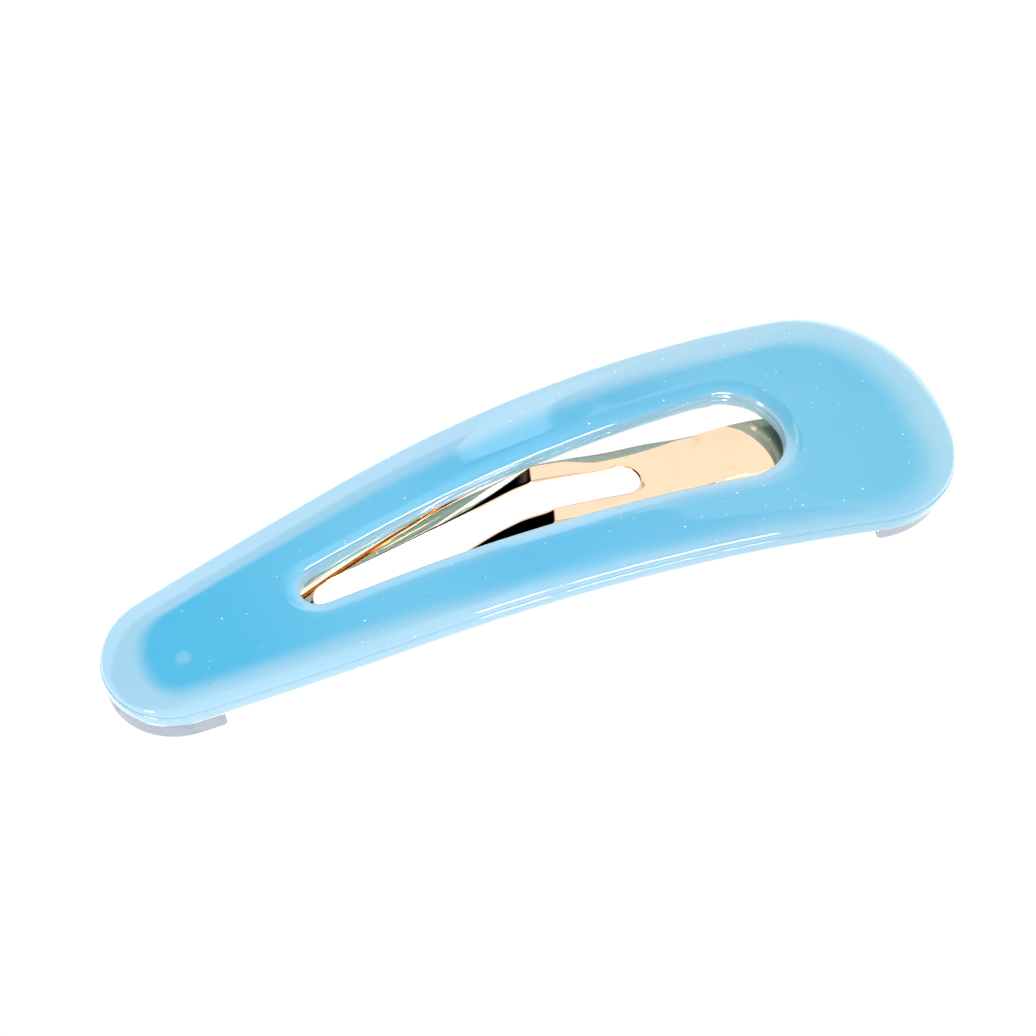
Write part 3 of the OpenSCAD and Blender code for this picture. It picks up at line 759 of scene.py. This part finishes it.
def metal_marks():
    """Marks that any of the plated sheet shows: faint smudges in its colour and gloss, and fine lines."""
    tree = bpy.data.node_groups.new("metal_marks", "ShaderNodeTree")
    for name in ("Colour", "Dull Colour"):
        tree.interface.new_socket(name, in_out="INPUT", socket_type="NodeSocketColor")
    for name in ("Roughness", "Smudge Scale", "Line Scale"):
        tree.interface.new_socket(name, in_out="INPUT", socket_type="NodeSocketFloat")
    tree.interface.new_socket("Colour", in_out="OUTPUT", socket_type="NodeSocketColor")
    for name in ("Roughness", "Height"):
        tree.interface.new_socket(name, in_out="OUTPUT", socket_type="NodeSocketFloat")
    given = tree.nodes.new("NodeGroupInput").outputs
    place = tree.nodes.new("ShaderNodeTexCoord").outputs["Object"]
    smudges = tree.nodes.new("ShaderNodeTexNoise")
    smudges.inputs["Detail"].default_value = 4
    tree.links.new(given["Smudge Scale"], smudges.inputs["Scale"])
    tree.links.new(place, smudges.inputs["Vector"])
    stretched = tree.nodes.new("ShaderNodeMapping")
    stretched.inputs["Scale"].default_value = (0.06, 0.06, 1)
    tree.links.new(place, stretched.inputs["Vector"])
    lines = tree.nodes.new("ShaderNodeTexNoise")
    lines.inputs["Detail"].default_value = 2
    tree.links.new(given["Line Scale"], lines.inputs["Scale"])
    tree.links.new(stretched.outputs[0], lines.inputs["Vector"])
    dull = rise(tree, smudges.outputs["Fac"], 0.52, 0.78)
    out = tree.nodes.new("NodeGroupOutput")
    wire(tree, blend_colours(tree, dull, given["Colour"], given["Dull Colour"]), out.inputs["Colour"])
    rough = reckon(tree, "MULTIPLY", given["Roughness"], reckon(tree, "MULTIPLY_ADD", dull, 0.8, 0.8))
    wire(tree, rough, out.inputs["Roughness"])
    relief = reckon(tree, "ADD", lines.outputs["Fac"], reckon(tree, "MULTIPLY", dull, 0.2))
    wire(tree, relief, out.inputs["Height"])
    return tree


METAL_MARKS = metal_marks()
METALS = {
    # name: colour, dull colour, roughness, smudge scale, line scale, relief in mm
    "polished_gold": ((0.93, 0.675, 0.475, 1), (0.90, 0.64, 0.44, 1), 0.025, 220, 9000, 0.0004),
    # Dark orange for the window's cut faces: painted reflection of light bounced between the gold sheets,
    # and painted shade of the gap beside them
    "painted_bounce_edge": ((0.54, 0.235, 0.035, 1), (0.32, 0.11, 0.012, 1), 0.06, 500, 9000, 0.001),
    # Pale cream gold, brighter than the plating: a painted reflection of the bright sheet in the rolled and
    # cut edges
    "painted_glint_edge": ((1.0, 0.92, 0.78, 1), (0.96, 0.84, 0.66, 1), 0.06, 500, 9000, 0.001),
    "satin_lip": ((0.33, 0.36, 0.41, 1), (0.22, 0.26, 0.32, 1), 0.38, 420, 5200, 0.012),
}


def metal(name):
    colour, dull, roughness, smudges, lines, relief = METALS[name]
    made, tree, coat = material(name)
    marks = tree.nodes.new("ShaderNodeGroup")
    marks.node_tree = METAL_MARKS
    for socket, value in zip(marks.inputs, (colour, dull, roughness, smudges, lines)):
        socket.default_value = value
    tree.links.new(marks.outputs["Colour"], coat.inputs["Base Color"])
    tree.links.new(marks.outputs["Roughness"], coat.inputs["Roughness"])
    bump = tree.nodes.new("ShaderNodeBump")
    bump.inputs["Strength"].default_value = 1
    bump.inputs["Distance"].default_value = relief * MM
    tree.links.new(marks.outputs["Height"], bump.inputs["Height"])
    tree.links.new(bump.outputs[0], coat.inputs["Normal"])
    coat.inputs["Metallic"].default_value = 1
    return made


polished_gold, painted_bounce_edge, painted_glint_edge, satin_lip = [metal(name) for name in METALS]
areas = {"lip": lip_faces, "cut": cut_faces, "bare": painted_glint_faces}
frame_mesh = ring_mesh("spring_frame", sections, areas=areas)
spring_frame = press("spring_frame", frame_mesh, polished_gold, satin_lip, painted_bounce_edge, painted_glint_edge)
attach(spring_frame, "clip")
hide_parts("frame")

# Root plate and rivet: the tongue's flat root and the plain rivet that holds it to the frame's nose. The
# cover hides both from above, so they keep their CAD shapes and take the frame's plating.
for node in ("root_plate", "rivet"):
    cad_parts[node].data.materials.clear()
    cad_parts[node].data.materials.append(polished_gold)

# Tongue: the snap tongue, stamped from the same plated spring steel. Two legs rise on either side of a
# long slot to a crease, behind which the flat pad dips and runs under the frame's wide end.
ROOT_W, CREST_W, PAD_W = 5.5, 7.2, 6.0
LEG_SPREAD = 0.14
FLEX_AT = 14.2 + 0.2
RISE_AT, RISE_POWER = 28, 2.1
CREST_AT, CREST_LIFT = 44.3, 1.22
FULL_WIDTH_AT = 36.5
NECK_END, PAD_AT = CREST_AT + 10.7, CREST_AT + 17
TONGUE_END = CLIP_LENGTH - 6
SLOT = (21, 54)
SLOT_W, SLOT_END_W = 3.75, 3.3
TONGUE_TOP = FRAME_BOTTOM - 0.1
CREST_TOP = UNDER_COVER + CREST_LIFT
CREASE_HALF = 0.18
PAD_LINE = [
    # share of the way from the crest to the end, height as a share of the crest's
    (0.000, 1.00),
    (0.115, 0.55),
    (0.210, 0.16),
    (0.300, -0.04),
    (0.400, -0.10),
    (0.485, -0.04),
    (0.570, 0.09),
    (0.640, 0.11),
    (0.715, 0.05),
    (0.790, 0.00),
    (1.000, 0.00),
]


def slope_at(table, i):
    before, after = table[max(0, i - 1)], table[min(len(table) - 1, i + 1)]
    return (after[1] - before[1]) / (after[0] - before[0])


def along_line(table, x):
    i = max(k for k in range(len(table) - 1) if x >= table[k][0])
    w = table[i + 1][0] - table[i][0]
    t = (x - table[i][0]) / w
    ends = table[i][1] * (2 * t ** 3 - 3 * t ** 2 + 1) + table[i + 1][1] * (3 * t ** 2 - 2 * t ** 3)
    leans = slope_at(table, i) * (t ** 3 - 2 * t ** 2 + t) + slope_at(table, i + 1) * (t ** 3 - t ** 2)
    return ends + leans * w


def creased_h(s):
    if s < CREST_AT:
        return mix(TONGUE_TOP, CREST_TOP, max(0, (s - RISE_AT) / (CREST_AT - RISE_AT)) ** RISE_POWER)
    share = min(1, (s - CREST_AT) / (TONGUE_END - CREST_AT))
    return mix(TONGUE_TOP, CREST_TOP, along_line(PAD_LINE, share))


def tongue_h(s):
    """The tongue's top, with the crease at the crest rounded as a stamped one is."""
    past = (s - CREST_AT) / CREASE_HALF
    if abs(past) >= 1:
        return creased_h(s)
    before, after = creased_h(CREST_AT - CREASE_HALF), creased_h(CREST_AT + CREASE_HALF)
    lean_before, lean_after = (CREST_TOP - before) / CREASE_HALF, (after - CREST_TOP) / CREASE_HALF
    t = (past + 1) / 2
    return before + 2 * CREASE_HALF * (lean_before * t + (lean_after - lean_before) * t * t / 2)


def tongue_y(s):
    if s < CREST_AT:
        spread = LEG_SPREAD * smooth((s - 24) / 2) * (smooth((41 - s) / 4) + smooth((32 - s) / 2))
        return mix(ROOT_W, CREST_W, smooth((s - RISE_AT) / (FULL_WIDTH_AT - RISE_AT))) / 2 + spread
    return mix(CREST_W, PAD_W, smooth((s - NECK_END) / (PAD_AT - NECK_END))) / 2


slot_tip_x = SLOT[0] + SLOT_W / 2
slot_end_x = SLOT[1] - SLOT_END_W / 2
corner_x = TONGUE_END - PAD_W / 2


def slot_y(s):
    return mix(SLOT_W, SLOT_END_W, smooth((s - CREST_AT) / (slot_end_x - CREST_AT))) / 2


def steps_between(a, b, count):
    return [mix(a, b, (i + 1) / count) for i in range(count)]


def turn(x, radius, first, last, count):
    return [Vector((x + radius * math.cos(a), radius * math.sin(a))) for a in arc(count, first, last)]


ROOT_STEPS, PAD_STEPS, TIP_TURNS = 12, 44, 20
leg_stops = steps_between(slot_tip_x, CREST_AT - CREASE_HALF, 60)
leg_stops += steps_between(CREST_AT - CREASE_HALF, CREST_AT + CREASE_HALF, 6)
leg_stops += steps_between(CREST_AT + CREASE_HALF, slot_end_x, 34)
slot_half = turn(slot_tip_x, SLOT_W / 2, 180, 90, ROOT_STEPS) + [Vector((s, slot_y(s))) for s in leg_stops]
slot_half += turn(slot_end_x, SLOT_END_W / 2, 90, 0, PAD_STEPS + TIP_TURNS)[1:]
outer_half = [Vector((FLEX_AT, ROOT_W / 2 * i / (ROOT_STEPS // 2))) for i in range(ROOT_STEPS // 2 + 1)]
outer_half += [Vector((s, ROOT_W / 2)) for s in steps_between(FLEX_AT, slot_tip_x, ROOT_STEPS // 2)]
outer_half += [Vector((s, tongue_y(s))) for s in leg_stops]
outer_half += [Vector((s, tongue_y(s))) for s in steps_between(slot_end_x, corner_x, PAD_STEPS)]
outer_half += turn(corner_x, PAD_W / 2, 90, 0, TIP_TURNS)[1:]
TONGUE_ROWS = 14


def closed(half):
    return half + [Vector((p.x, -p.y)) for p in reversed(half[1:-1])]


def slot_trim(p):
    """The slot's two sides aren't quite alike: it is a little tighter at its start and beside the crest."""
    if p.y > 0:
        start = 0.12 * smooth((p.x - 21) / 2) * smooth((34 - p.x) / 8)
        return Vector((p.x, p.y - start - 0.22 * smooth((p.x - 42) / 2.5) * smooth((53 - p.x) / 4)))
    return Vector((p.x, p.y + 0.5 * smooth((p.x - 34) / 6) * smooth((44.3 - p.x) / 3.4)))


SHEAR_ROLL = [(0, 0.15), (0.01, 0.1), (0.03, 0.066), (0.07, 0.038), (0.12, 0.02), (0.18, 0.008), (0.25, 0)]
CREASE_REACH, CREASE_REST = 7, 1
CREASE_LEAN, CREASE_BACK, LEG_MIDDLE = 0.38, 0.1, 2.73


def skewed(p):
    """The stamped crease runs a little aslant on each leg, so points near it move along the clip."""
    share = 1 - smooth(abs(p.x - CREST_AT) / CREASE_REACH)
    on_leg = abs(p.y) > CREASE_REST
    aslant = CREASE_LEAN * (p.y - math.copysign(LEG_MIDDLE, p.y)) if on_leg else 0
    return p.x + share * (aslant - CREASE_BACK)


def tongue_section(outer, slot):
    """The sheet's section with the soft edge that the punch leaves on top, and its underside."""
    inward = (slot - outer).normalized()
    roll = [(outer + inward * inset, drop) for inset, drop in SHEAR_ROLL]
    far_roll = [(slot - inward * inset, drop) for inset, drop in SHEAR_ROLL]
    middle = [(p, 0) for p in across(roll[-1][0], far_roll[-1][0], TONGUE_ROWS)]
    top = [(skewed(p), p.y, tongue_h(p.x) - drop) for p, drop in roll + middle + far_roll[::-1]]
    near, far = outer + inward * CUT_EDGE, slot - inward * CUT_EDGE
    flat = [outer, near] + across(near, far, TONGUE_ROWS) + [far, slot]
    lifts = [CUT_EDGE] + [0] * (len(flat) - 2) + [CUT_EDGE]
    bottom = [(skewed(p), p.y, tongue_h(p.x) - SHEET_T + lift) for p, lift in zip(flat, lifts)]
    return top + bottom[::-1]


slot_line = [slot_trim(p) for p in closed(slot_half)]
sections = [tongue_section(outer, slot) for outer, slot in zip(closed(outer_half), slot_line)]
TOP_POINTS = 2 * len(SHEAR_ROLL) + TONGUE_ROWS
# The slot's cut faces take the pale gold painted reflection
slot_faces = [j in (TOP_POINTS - 1, TOP_POINTS) for _ in sections for j in range(len(sections[0]))]
tongue_mesh = ring_mesh("snap_tongue", sections, areas={"bare": slot_faces})
tongue = press("snap_tongue", tongue_mesh, polished_gold, bare=painted_glint_edge)
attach(tongue, "tongue")
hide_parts("tongue")
